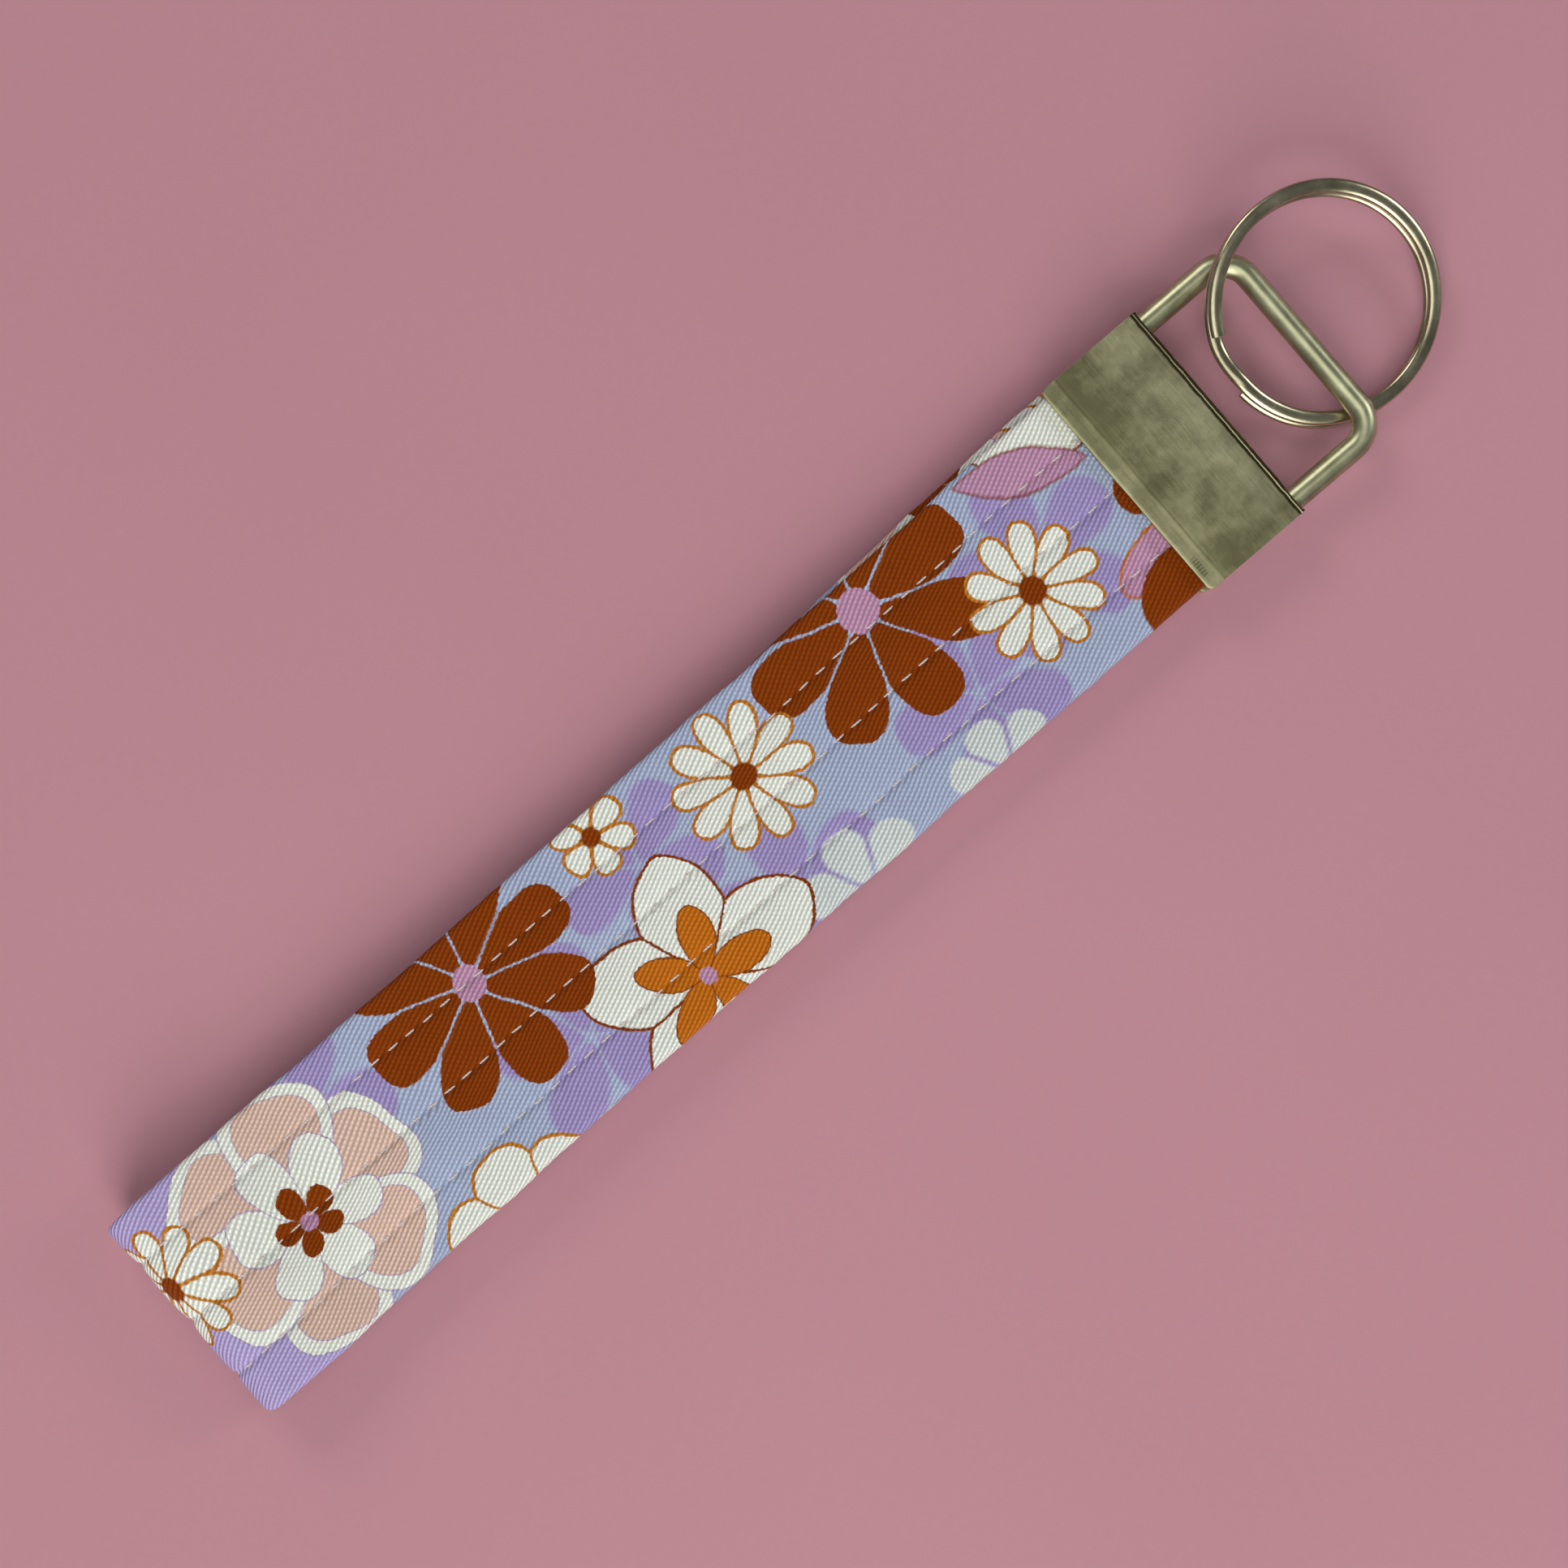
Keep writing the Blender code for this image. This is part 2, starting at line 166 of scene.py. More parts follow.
class Finish:
    """One material and the nodes that feed its Principled shader."""

    def __init__(self, name, roughness=0.5, metallic=0.0, **sockets):
        self.material = bpy.data.materials.new(name)
        self.material.use_nodes = True
        self.nodes = self.material.node_tree.nodes
        self.links = self.material.node_tree.links
        self.shader = self.nodes["Principled BSDF"]
        self.shader.inputs["Roughness"].default_value = roughness
        self.shader.inputs["Metallic"].default_value = metallic
        for socket, value in sockets.items():
            self.shader.inputs[socket.replace("_", " ")].default_value = value

    def feed(self, socket, value):
        if isinstance(value, Value):
            self.links.new(value.socket, socket)
        else:
            socket.default_value = value

    def node(self, kind, settings=None, inputs=(), output=0):
        """Adds a node; inputs are given in order or by name, as numbers, colours or Values."""
        node = self.nodes.new(kind)
        for key, value in (settings or {}).items():
            setattr(node, key, value)
        named = inputs.items() if isinstance(inputs, dict) else enumerate(inputs)
        for key, value in named:
            self.feed(node.inputs[key], value)
        return Value(self, node.outputs[output])

    def split(self, vector):
        """The three parts of a vector or colour."""
        node = self.nodes.new("ShaderNodeSeparateXYZ")
        self.feed(node.inputs[0], vector)
        return [Value(self, part) for part in node.outputs]

    def mix(self, factor, low, high):
        """A colour between low and high."""
        node = self.nodes.new("ShaderNodeMix")
        node.data_type = "RGBA"
        self.feed(node.inputs[0], factor)
        self.feed(node.inputs[6], low)
        self.feed(node.inputs[7], high)
        return Value(self, node.outputs[2])

    def shade(self, colour, value):
        """A colour made lighter or darker by a value."""
        node = self.nodes.new("ShaderNodeVectorMath")
        node.operation = "SCALE"
        self.feed(node.inputs[0], colour)
        self.feed(node.inputs["Scale"], value)
        return Value(self, node.outputs[0])

    def place(self, source="Object"):
        """Object or UV coordinates, in metres."""
        node = self.nodes.new("ShaderNodeTexCoord")
        return Value(self, node.outputs[source])

    def noise(self, vector, scale, detail=2.0, roughness=0.5, output=0):
        inputs = {"Vector": vector, "Scale": scale, "Detail": detail, "Roughness": roughness}
        return self.node("ShaderNodeTexNoise", {}, inputs, output)

    def bump(self, height, strength, distance):
        inputs = {"Strength": strength, "Distance": distance, "Height": height}
        normal = self.node("ShaderNodeBump", {}, inputs)
        self.feed(self.shader.inputs["Normal"], normal)

    def set(self, socket, value):
        self.feed(self.shader.inputs[socket], value)


def ink(red, green, blue):
    """A colour given as on a screen, 0 to 255, as the shader takes it."""
    return (*(((part / 255 + 0.055) / 1.055) ** 2.4 for part in (red, green, blue)), 1.0)


# ------------------------------------------------------------------ print

SKY = ink(174, 186, 214)
LAVENDER = ink(166, 152, 204)
# A paler lavender that paints light onto the fold end.
FOLD_LIT_LAVENDER = ink(186, 172, 222)
MINT = ink(238, 242, 232)
BLUSH = ink(226, 194, 178)
RUST = ink(138, 60, 2)
AMBER = ink(200, 112, 24)
GOLD = ink(196, 124, 40)
LILAC = ink(196, 148, 180)
PALE = ink(216, 224, 222)
SOFT_OUTLINE = ink(176, 158, 196)

TWILL_PITCH = 0.577
TWILL_ANGLE = math.radians(25)
FLOAT_LENGTH = 0.62
# How far the printed edges sway over centimetres and fray over single threads, in mm.
PRINT_SWAY = 1.1
PRINT_FRAY = 0.42
SEAM_SHADE = 0.14


class Print(Finish):
    """Cotton twill, printed with flowers drawn from petals in polar rings."""

    def __init__(self, name):
        super().__init__(
            name, roughness=0.88, Sheen_Weight=0.05, Sheen_Roughness=0.5, Specular_IOR_Level=0.06
        )
        uv = self.place("UV")
        along, across, _ = self.split(uv)
        self.along = along * (1 / MM)
        self.across = across * (1 / MM)
        sway = self.noise(uv, 130.0, 1.0, output=1)
        sway_x, sway_y, _ = self.split(sway)
        fringe = self.noise(uv, 2300.0, 1.0, output=1)
        fringe_x, fringe_y, _ = self.split(fringe)
        self.x = self.along + (sway_x - 0.5) * PRINT_SWAY + (fringe_x - 0.5) * PRINT_FRAY
        self.y = self.across + (sway_y - 0.5) * PRINT_SWAY + (fringe_y - 0.5) * PRINT_FRAY
        self.colour = SKY

    def polar(self, centre):
        dx = self.x - centre[0]
        dy = self.y - centre[1]
        return (dx * dx + dy * dy).sqrt(), dy.step("ARCTAN2", dx)

    def paint(self, mask, colour):
        self.colour = self.mix(mask, self.colour, colour)

    def petal(self, spot, count, turn, inner, outer, width, base=0.5, tip=0.5, grow=0.0,
              apart=None):
        """How far inside the nearest of count petals a place lies.

        Each runs from inner to outer and is width wide. A base or tip of 0.5 rounds that end, and
        1 brings it to a point. apart keeps neighbours that much away from each other.
        """
        radius, angle = spot
        part = math.pi / count
        folded = (angle - math.radians(turn)).wrap(part, -part)
        forward = radius * folded.cos()
        side = abs(radius * folded.sin())
        from_base = forward - (inner - grow)
        from_tip = (outer + grow) - forward
        place = (from_base * (1 / (outer - inner + 2 * grow))).max(0.0).min(1.0)
        belly = base / (base + tip)
        full = (width / 2 + grow) / (belly ** base * (1 - belly) ** tip)
        inside = (place ** base * (1.0 - place) ** tip * full - side).min(from_base).min(from_tip)
        if apart is not None:
            inside = inside.min(forward * math.tan(part) - side - apart)
        return inside

    def disc(self, spot, size, colour, soft=0.08):
        self.paint((size - spot[0]).edge(soft), colour)

    def petals(self, spot, count, turn, inner, outer, width, colour, rim=None, line=0.0, soft=0.08,
               apart=None, **shape):
        """Paints a ring of petals, each with a line of another colour round it."""
        args = (spot, count, turn, inner, outer, width)
        if rim is not None:
            self.paint(self.petal(*args, grow=line, **shape).edge(soft), rim)
            apart = line / 2 if apart is None else apart
        self.paint(self.petal(*args, apart=apart, **shape).edge(soft), colour)

    def daisy(self, centre, count, turn, size, eye):
        """White narrow petals with amber outlines and a rust eye."""
        spot = self.polar(centre)
        self.disc(spot, eye * 1.8, GOLD, 0.25)
        self.petals(
            spot, count, turn, eye * 0.7, size, 3.5 * size / count, MINT, GOLD, 0.42,
            base=0.95, tip=0.42,
        )
        self.disc(spot, eye, RUST, 0.15)

    def paddle_flower(self, centre, turn, size, eye):
        """Eight wide rust petals round a lilac eye."""
        spot = self.polar(centre)
        self.petals(
            spot, 8, turn, eye * 0.7, size, size * 0.48, RUST, apart=0.16, base=0.8, tip=0.34
        )
        self.disc(spot, eye, LILAC)

    def layered_flower(self, centre, turn, size):
        """Blush petals edged in mint, a mint rosette on them and a small rust heart."""
        spot = self.polar(centre)
        for step in (0, 60):
            self.petals(
                spot, 3, turn + step, size * 0.1, size, size * 0.86, MINT, SOFT_OUTLINE, 0.16,
                base=0.62, tip=0.33,
            )
            self.petals(
                spot, 3, turn + step, size * 0.28, size * 0.91, size * 0.66, BLUSH, SOFT_OUTLINE,
                0.1, base=0.5, tip=0.34,
            )
        for step in (0, 60):
            self.petals(
                spot, 3, turn + 32 + step, 0.5, size * 0.6, size * 0.36, MINT, SOFT_OUTLINE, 0.14,
                base=0.75, tip=0.36,
            )
        self.petals(spot, 5, turn + 18, 0.5, size * 0.28, size * 0.19, RUST, base=0.7, tip=0.45)
        self.disc(spot, size * 0.075, LILAC)

    def open_flower(self, centre, turn, size):
        """Five broad white petals outlined in rust, and five amber pointed ones on them."""
        spot = self.polar(centre)
        self.petals(
            spot, 5, turn, size * 0.08, size, size * 0.66, MINT, RUST, 0.42, base=0.62, tip=0.68
        )
        self.petals(
            spot, 5, turn - 8, 0.4, size * 0.55, size * 0.25, AMBER, RUST, 0.2, base=0.75,
            tip=0.62,
        )
        self.disc(spot, size * 0.07, LILAC)

    def shadow_flower(self, centre, turn, size):
        """Soft lavender petals under the rest of the print."""
        spot = self.polar(centre)
        self.petals(
            spot, 5, turn, size * 0.06, size, size * 0.62, LAVENDER, soft=0.45, base=0.8, tip=0.42
        )

    def pale_flower(self, centre, turn, size):
        spot = self.polar(centre)
        self.petals(
            spot, 7, turn, size * 0.16, size, size * 0.6, PALE, soft=0.3, apart=0.3, base=0.8,
            tip=0.4,
        )

    def scalloped_flower(self, centre, turn, size):
        spot = self.polar(centre)
        self.petals(
            spot, 7, turn, size * 0.1, size, size * 0.7, MINT, GOLD, 0.4, base=0.8, tip=0.42
        )

    def blob(self, centre, radii, tilt, colour, rim=None, rim_width=0.0, pointed=False, soft=0.2):
        """One round or pointed shape, turned by tilt."""
        turn = math.radians(tilt)
        dx, dy = self.x - centre[0], self.y - centre[1]
        forward = dx * math.cos(turn) + dy * math.sin(turn)
        side = dy * math.cos(turn) - dx * math.sin(turn)
        for grow, paint in ((rim_width, rim), (0.0, colour)):
            if paint is None:
                continue
            place = forward / (radii[0] + grow)
            spread = side / (radii[1] + grow)
            reach = abs(spread) if pointed else spread * spread
            self.paint((1.0 - place * place - reach).edge(soft / radii[1]), paint)

    def twill(self):
        """Height of the weave: slanted ribs, each made of short floats."""
        rib = (
            self.across * math.cos(TWILL_ANGLE) - self.along * math.sin(TWILL_ANGLE)
        ) * (1 / TWILL_PITCH)
        run = (self.along * math.cos(TWILL_ANGLE) + self.across * math.sin(TWILL_ANGLE)) * (
            1 / FLOAT_LENGTH
        )
        wave = (rib * (2 * math.pi)).cos() * 0.5 + 0.5
        row = rib.step("ROUND")
        floats = ((run + row * 0.37) * (2 * math.pi)).cos() * 0.5 + 0.5
        return wave ** 0.8 * (floats ** 0.6 * 0.44 + 0.56)

    def finish(self):
        uv = self.place("UV")
        weave = self.twill()
        fuzz = self.noise(uv, 5200.0, 2.0)
        wash = self.noise(uv, 90.0, 3.0, 0.6)
        # The colour is scaled by painted shade of the weave, its ribs painted lighter and its
        # grooves darker, and by random tone from fuzz and wash.
        light = weave * 0.68 + 0.68 + (fuzz - 0.5) * 0.35 + (wash - 0.5) * 0.2
        # Painted shade along each row of stitches, in the groove that the seam pulls into the
        # cloth.
        for row in ROW_PLACES:
            light = light - (0.24 - abs(self.across - row)).edge(0.34) * SEAM_SHADE
        self.set("Base Color", self.shade(self.colour, light))
        self.set("Roughness", 0.93 - weave * 0.12)
        self.bump(weave + fuzz * 0.5, 0.85, 0.2 * MM)
        return self.material


# The print repeats along and across the cloth; a margin past the mouth keeps its flowers whole.
PRINT_REPEAT_ALONG = 162.0
PRINT_REPEAT_ACROSS = 48.0
PRINT_MARGIN = 4.0


def printed_cotton():
    print_ = Print("printed_cotton_twill")
    print_.x = print_.x.wrap(PRINT_MARGIN, PRINT_MARGIN - PRINT_REPEAT_ALONG)
    print_.y = print_.y.wrap(PRINT_REPEAT_ACROSS / 2, -PRINT_REPEAT_ACROSS / 2)
    for centre, turn, size in (
        ((-126.0, 9.0), 50, 11.0), ((-93.5, -6.5), 75, 12.5),
        ((-75.5, 5.5), 250, 11.0), ((-62.0, -11.0), 10, 12.0), ((-30.0, -6.5), 100, 11.5),
        ((-13.5, 0.5), 12, 12.0),
    ):
        print_.shadow_flower(centre, turn, size)
    # A soft patch of paler lavender over the fold end is painted light: the fold's brighter look,
    # with its glinting ribs, painted into the print.
    print_.blob((-152.0, 0.0), (13.5, 26.0), 0, FOLD_LIT_LAVENDER, soft=0.8)
    print_.pale_flower((-55.4, -17.2), 38, 9.6)
    print_.pale_flower((-33.1, -17.2), 38, 8.2)
    print_.scalloped_flower((-113.2, -21.5), 88, 12.2)
    print_.layered_flower((-134.3, 0.3), 8, 16.4)
    print_.open_flower((-77.8, -10.7), 2, 16.4)
    print_.paddle_flower((-100.5, 8.5), 4, 15.6, 2.2)
    print_.paddle_flower((-34.4, 11.1), 4, 16.6, 2.6)
    print_.blob((-3.5, 15.0), (9.0, 6.5), -28, MINT, RUST, 0.3)
    print_.blob((-8.2, 10.3), (8.3, 2.7), -27, LILAC, RUST, 0.3, pointed=True)
    print_.blob((-2.0, -8.4), (6.3, 3.0), 8, LILAC, AMBER, 0.35)
    print_.blob((-1.5, -14.6), (7.2, 6.2), 0, RUST)
    print_.blob((1.6, -0.6), (3.2, 3.4), 0, RUST)
    print_.daisy((-77.2, 12.2), 6, 20, 4.9, 1.2)
    print_.daisy((-152.4, 4.4), 10, 5, 7.7, 1.35)
    print_.daisy((-58.4, 5.2), 10, 14, 9.0, 1.8)
    print_.daisy((-16.6, -1.6), 10, 97, 8.5, 1.7)
    return print_.finish()


def pale_thread():
    finish = Finish("pale_thread", roughness=0.72, Sheen_Weight=0.2)
    uv = finish.place("UV")
    along, across, _ = finish.split(uv)
    twist = ((along * (1 / MM) * 2.2 + across * (1 / MM) * 3.0) * (2 * math.pi)).sin()
    # The twist's ridges are painted lighter and its grooves darker: painted shade that follows the
    # thread's bumps.
    colour = finish.mix(twist * 0.5 + 0.5, ink(196, 184, 182), ink(230, 222, 216))
    finish.set("Base Color", colour)
    finish.bump(twist, 0.5, 0.05 * MM)
    return finish.material


def nickel(name, roughness, brushed, dark, light):
    """Satin or polished nickel: cloudy tarnish, handling scratches and slow colour changes. The
    satin sheet also gets painted light: a dark painted reflection along its bend with a thin
    painted highlight line, and painted shade just past the crimp step.
    """
    finish = Finish(name, roughness=roughness, metallic=1.0)
    place = finish.place()
    cloud = finish.noise(place, 170.0, 4.0, 0.62)
    blotch = finish.noise(place, 620.0, 3.0, 0.7)
    grain = finish.noise(place, 4200.0, 2.0)
    stretched = finish.node("ShaderNodeMapping", {}, {"Vector": place, "Scale": (1.0, 0.05, 1.0)})
    streak = finish.noise(stretched, 4200.0, 3.0, 0.7)
    x, y, _ = finish.split(place)
    swirl_x = x - (CLAMP_MOUTH.x + 0.007)
    swirl_y = y - (CLAMP_MOUTH.y + 0.001)
    swirl = (swirl_x * swirl_x + swirl_y * swirl_y).sqrt()
    rings = (swirl * (2 * math.pi / (0.42 * MM))).sin() * (0.009 - swirl).edge(0.003)
    tone = (cloud - 0.5) * 1.5 + (blotch - 0.5) * 0.7 + (streak - 0.5) * 0.5 * brushed + 0.5
    tone = tone + rings * 0.028 * brushed
    from_mouth = (x - CLAMP_MOUTH.x) * (1 / MM)
    past_band = (from_mouth - CRIMP).edge(0.25)
    # The satin sheet's tone rises steadily from 3 mm to 12 mm back from the mouth, so it is
    # lighter towards the fold.
    lighter_towards_fold = (from_mouth - 3.0).max(0.0).min(9.0) * 0.07
    stain = (finish.noise(place, 110.0, 1.0) - 0.52).edge(0.05)
    tone = tone + (lighter_towards_fold - past_band * 0.3 - stain * 0.3) * brushed + 0.05 * brushed
    colour = finish.mix(tone.max(0.0).min(1.0), dark, light)
    if brushed:
        # Painted light on the satin sheet: a dark band along the fold's bend is a painted dark
        # reflection, with a thin painted highlight line along it, and a thin band of painted shade
        # lies in the crease just past the crimp step. The comb draws dark tooth marks by one
        # corner.
        bend_wobble = (finish.noise(place, 700.0, 2.0) - 0.5) * 0.3
        past_bend = from_mouth + bend_wobble - (CLAMP_LENGTH - 0.85)
        highlight_line = (0.05 - abs(past_bend - 0.46)).edge(0.05)
        bend = past_bend.edge(0.1) * (1.0 - past_bend).edge(0.06) * (1.0 - highlight_line * 0.85)
        crease = (0.13 - abs(from_mouth - CRIMP - 0.15)).edge(0.12)
        from_corner = (y - CLAMP_MOUTH.y) * (1 / MM) + 12.9
        comb = (0.4 - abs(from_mouth - 0.7)).edge(0.1) * (1.4 - abs(from_corner)).edge(0.2)
        comb = comb * ((from_corner * (2 * math.pi / 0.42)).sin() * 0.5 + 0.5)
        shade_and_tooth_marks = (bend * 0.95).max(crease * 0.3).max(comb * 0.6)
        # The painted reflection, the painted shade and the tooth marks darken the colour towards
        # dark brown.
        colour = finish.mix(shade_and_tooth_marks, colour, ink(58, 46, 22))
    finish.set("Base Color", colour)
    rough = (cloud - 0.5) * 0.25 + (streak - 0.5) * 0.15 * brushed + roughness
    finish.set("Roughness", rough)
    finish.bump(streak * brushed + grain * 0.3 + cloud * 0.3, 0.05 + 0.07 * brushed, 0.05 * MM)
    return finish.material


# ------------------------------------------------------------------ strap

RUN_GAP = 0.3
HALF_THICKNESS = 1.0
HALF_WIDTH = 15.0
STRAP_LENGTH = 154.0
FOLD_RADIUS = 3.6
TAIL_END = 10.0
EDGE_ROUND = 1.0
PATH_STEP = 0.25
TAPER_STEPS = 80
BEND_STEPS = 60
STATION_STEP = 0.5
ROW_PLACES = (-8.4, 0.4, 8.7)
# How far each row lies off its place at the fold, midway and at the clamp.
ROW_DRIFT = ((-0.3, 0.3, 0.0), (-0.7, 0.0, 0.7), (0.4, -0.2, 0.0))
STITCH_PITCH = 2.8
STITCH_HALF = 1.14
THREAD_HALF_WIDTH = 0.12
FIRST_STITCH = 0.6


class Path:
    """The strap's middle line seen from its side, by distance from the front mouth."""

    def __init__(self):
        run = RUN_GAP / 2 + HALF_THICKNESS
        centre = -(STRAP_LENGTH - HALF_THICKNESS - FOLD_RADIUS)
        steps = int((FOLD_HINGE + TAIL_END) / PATH_STEP)
        front = [(TAIL_END - step * PATH_STEP, run) for step in range(steps + 1)]
        for step in range(1, TAPER_STEPS):
            share = step / TAPER_STEPS
            ease = (1 - math.cos(math.pi * share)) / 2
            x = -FOLD_HINGE + (centre + FOLD_HINGE) * share
            front.append((x, run + (FOLD_RADIUS - run) * ease))
        for step in range(BEND_STEPS + 1):
            angle = math.pi / 2 * (1 + step / BEND_STEPS)
            front.append((centre + FOLD_RADIUS * math.cos(angle), FOLD_RADIUS * math.sin(angle)))
        self.points = front + [(x, -z) for x, z in reversed(front[:-1])]
        self.marks = [-TAIL_END]
        for before, after in zip(self.points, self.points[1:]):
            self.marks.append(self.marks[-1] + math.dist(before, after))
        self.tip = self.marks[len(front) - 1]
        self.end = self.marks[-1] - TAIL_END

    def at(self, s):
        """Place and outward direction at s."""
        index = min(max(bisect.bisect_right(self.marks, s) - 1, 1), len(self.points) - 3)
        share = (s - self.marks[index]) / (self.marks[index + 1] - self.marks[index])
        before, after = self.points[index], self.points[index + 1]
        place = [a + (b - a) * share for a, b in zip(before, after)]
        first, last = self.points[index - 1], self.points[index + 2]
        step = (last[0] - first[0], last[1] - first[1])
        length = math.hypot(*step)
        return place, (step[1] / length, -step[0] / length)


PATH = Path()


def printed_length(s):
    """Length along the outer face: the fold's outside is longer than its middle line."""
    quarter = math.pi / 2 * FOLD_RADIUS
    round_fold = max(0.0, min(2 * quarter, s - (PATH.tip - quarter)))
    return s + round_fold * HALF_THICKNESS / FOLD_RADIUS


def smooth(share):
    share = min(1.0, max(0.0, share))
    return share * share * (3 - 2 * share)


def ripple(*place):
    return noise.noise(Vector(place))


def row_drift(index, s, x):
    """How far a row of stitches wanders from its straight line."""
    fold, middle, clamp = ROW_DRIFT[index]
    share = max(-1.0, min(1.0, (x + STRAP_LENGTH / 2) / (STRAP_LENGTH / 2)))
    bow = middle + (clamp - fold) / 2 * share + ((clamp + fold) / 2 - middle) * share * share
    slow = 0.14 * ripple(s * 0.03, index * 5.0, 0.0)
    quick = 0.07 * ripple(s * 0.16, index * 3.0, 4.0)
    return bow + slow + quick


def drift_at(s, x, y):
    return sum(
        row_drift(index, s, x) * math.exp(-(((y - row) / 4.2) ** 2))
        for index, row in enumerate(ROW_PLACES)
    )


def section():
    """Round one run, from the hem's slit over the outer face and back along the inner one.

    Each entry is (y, height share, distance round the cloth from the outer face's middle).
    """
    face = []
    y = HALF_WIDTH - 0.7
    while y > -HALF_WIDTH + EDGE_ROUND:
        face.append(y)
        near = min(abs(y - row) for row in ROW_PLACES)
        y -= 0.26 if near < 1.2 else 0.62
    face.append(-HALF_WIDTH + EDGE_ROUND)
    lip = [(14.45, 0.04), (14.82, 0.16), (14.97, 0.42), (14.93, 0.75), (14.68, 0.95)]
    loop = [(y, z, HALF_WIDTH + 1.5 - index * 0.42) for index, (y, z) in enumerate(lip)]
    loop += [(y, 1.0, y) for y in face]
    edge = []
    for step in range(1, 9):
        angle = math.pi * step / 9
        arc = angle * EDGE_ROUND
        edge.append(
            (-HALF_WIDTH + EDGE_ROUND * (1 - math.sin(angle)), math.cos(angle),
             -HALF_WIDTH + EDGE_ROUND - arc)
        )
    loop += edge
    turned = -HALF_WIDTH + EDGE_ROUND - math.pi * EDGE_ROUND
    loop += [(y, -1.0, turned - (y + HALF_WIDTH - EDGE_ROUND)) for y in reversed(face)]
    last = loop[-1][2]
    loop += [(y, -z, last - (index + 1) * 0.42) for index, (y, z) in enumerate(reversed(lip))]
    return loop


SECTION = section()


def half_width(x):
    """The strap is a little narrower in its middle, and rounds off at the fold."""
    ends = smooth((abs(x + 75) - 25) / 50)
    fold_round = max(0.0, (-x - (STRAP_LENGTH - 3.0)) / 3.0)
    return 14.8 + 0.42 * ends - 0.55 * fold_round ** 2


def layer_shift(s, x):
    """The back run sits a little towards the hem side near the clamp."""
    back = smooth((s - PATH.tip) / 40)
    return back * 0.85 * smooth((x + 58) / 50) + 0.12 * ripple(s * 0.05, 0.0, 5.0)


def height_share(s, y, outer):
    """Half thickness at a place: grooves and needle holes along the rows, puckers and pillows."""
    height = HALF_THICKNESS + 0.02
    side = 1 if outer else -1
    for index, row in enumerate(ROW_PLACES):
        off = y - row
        phase = s / STITCH_PITCH + index * 0.37 + (0 if outer else 0.5)
        beat = math.cos(2 * math.pi * phase)
        height -= 0.36 * math.exp(-((off / 0.42) ** 2)) * (0.84 + 0.16 * beat)
        height -= 0.20 * math.exp(-((off / 1.8) ** 2))
        height += 0.05 * beat * math.exp(-((off / 1.8) ** 2))
        height += 0.12 * ripple(s * 0.24, index * 4.0, side) * math.exp(-((off / 3.2) ** 2))
    height += 0.10 * ripple(s * 0.06, y * 0.11, side * 2.0) + 0.03 * ripple(s * 0.5, y * 0.4, side)
    return height


def pinch(x):
    """The clamp squeezes the strap from its mouth inwards."""
    return 1.0 - 0.22 * smooth((x + 3.0) / 3.5)


def strap_point(s, entry, thickness=1.0):
    y, share, _ = entry
    (x, z), normal = PATH.at(s)
    width = half_width(x) / HALF_WIDTH
    body = height_share(s, y, share > 0) * pinch(x) * thickness
    out = share * body
    wave = 0.10 * ripple(s * 0.045, 9.0, 0.0) * smooth((-x - 6) / 20)
    across = y * width + drift_at(s, x, y) + layer_shift(s, x)
    side = 2.0 if y > 0 else 7.0
    across += 0.2 * ripple(s * 0.11, side, 0) + 0.1 * ripple(s * 0.4, side, 3.0)
    return Vector((x + normal[0] * (out + wave), across, z + normal[1] * (out + wave)))


def new_piece(name, shape, material, smooth_deg=None):
    """Makes an object at the origin from a bmesh whose vertices are already in the frame."""
    mesh = bpy.data.meshes.new(name)
    shape.to_mesh(mesh)
    shape.free()
    mesh.materials.append(material)
    if smooth_deg is not None:
        mesh.shade_smooth()
        mesh.set_sharp_from_angle(angle=math.radians(smooth_deg))
    piece = bpy.data.objects.new(name, mesh)
    bpy.context.scene.collection.objects.link(piece)
    return piece


def sheet_grid(columns, rows, place):
    """A grid whose vertices place moves; place takes column, row and returns (point, uv)."""
    shape = bmesh.new()
    bmesh.ops.create_grid(shape, x_segments=columns, y_segments=rows, size=1.0)
    layer = shape.loops.layers.uv.new("UVMap")
    uvs = {}
    for vert in shape.verts:
        column = round((vert.co.x + 1) / 2 * columns)
        row = round((vert.co.y + 1) / 2 * rows)
        vert.co, uvs[vert.index] = place(column, row)
    for face in shape.faces:
        for loop in face.loops:
            loop[layer].uv = uvs[loop.vert.index]
    return shape


def close_ends(shape):
    open_edges = [edge for edge in shape.edges if edge.is_boundary]
    bmesh.ops.holes_fill(shape, edges=open_edges, sides=0)
    bmesh.ops.recalc_face_normals(shape, faces=shape.faces)


def cover_piece(name, start, end, material, hinge=None):
    """A stretch of the strap from start to end, closed at both ends.

    hinge is (s, direction): past it the run rounds off like a pin, so that it can turn there.
    """
    stations = max(4, round((end - start) / STATION_STEP))
    loop = SECTION + [SECTION[0]]

    def place(column, row):
        s = start + (end - start) * row / stations
        thickness = 1.0
        if hinge is not None:
            past = max(0.0, (s - hinge[0]) * hinge[1])
            thickness = math.sqrt(max(0.0, 1 - past * past))
        entry = loop[column]
        point = strap_point(s, entry, thickness)
        drift = math.copysign(drift_at(s, point.x, entry[0]), entry[1])
        return STRAP @ point, (-printed_length(s) * MM, (entry[2] + drift) * MM)

    shape = sheet_grid(len(loop) - 1, stations, place)
    bmesh.ops.remove_doubles(shape, verts=shape.verts, dist=0.004 * MM)
    close_ends(shape)
    return new_piece(name, shape, material, 75)


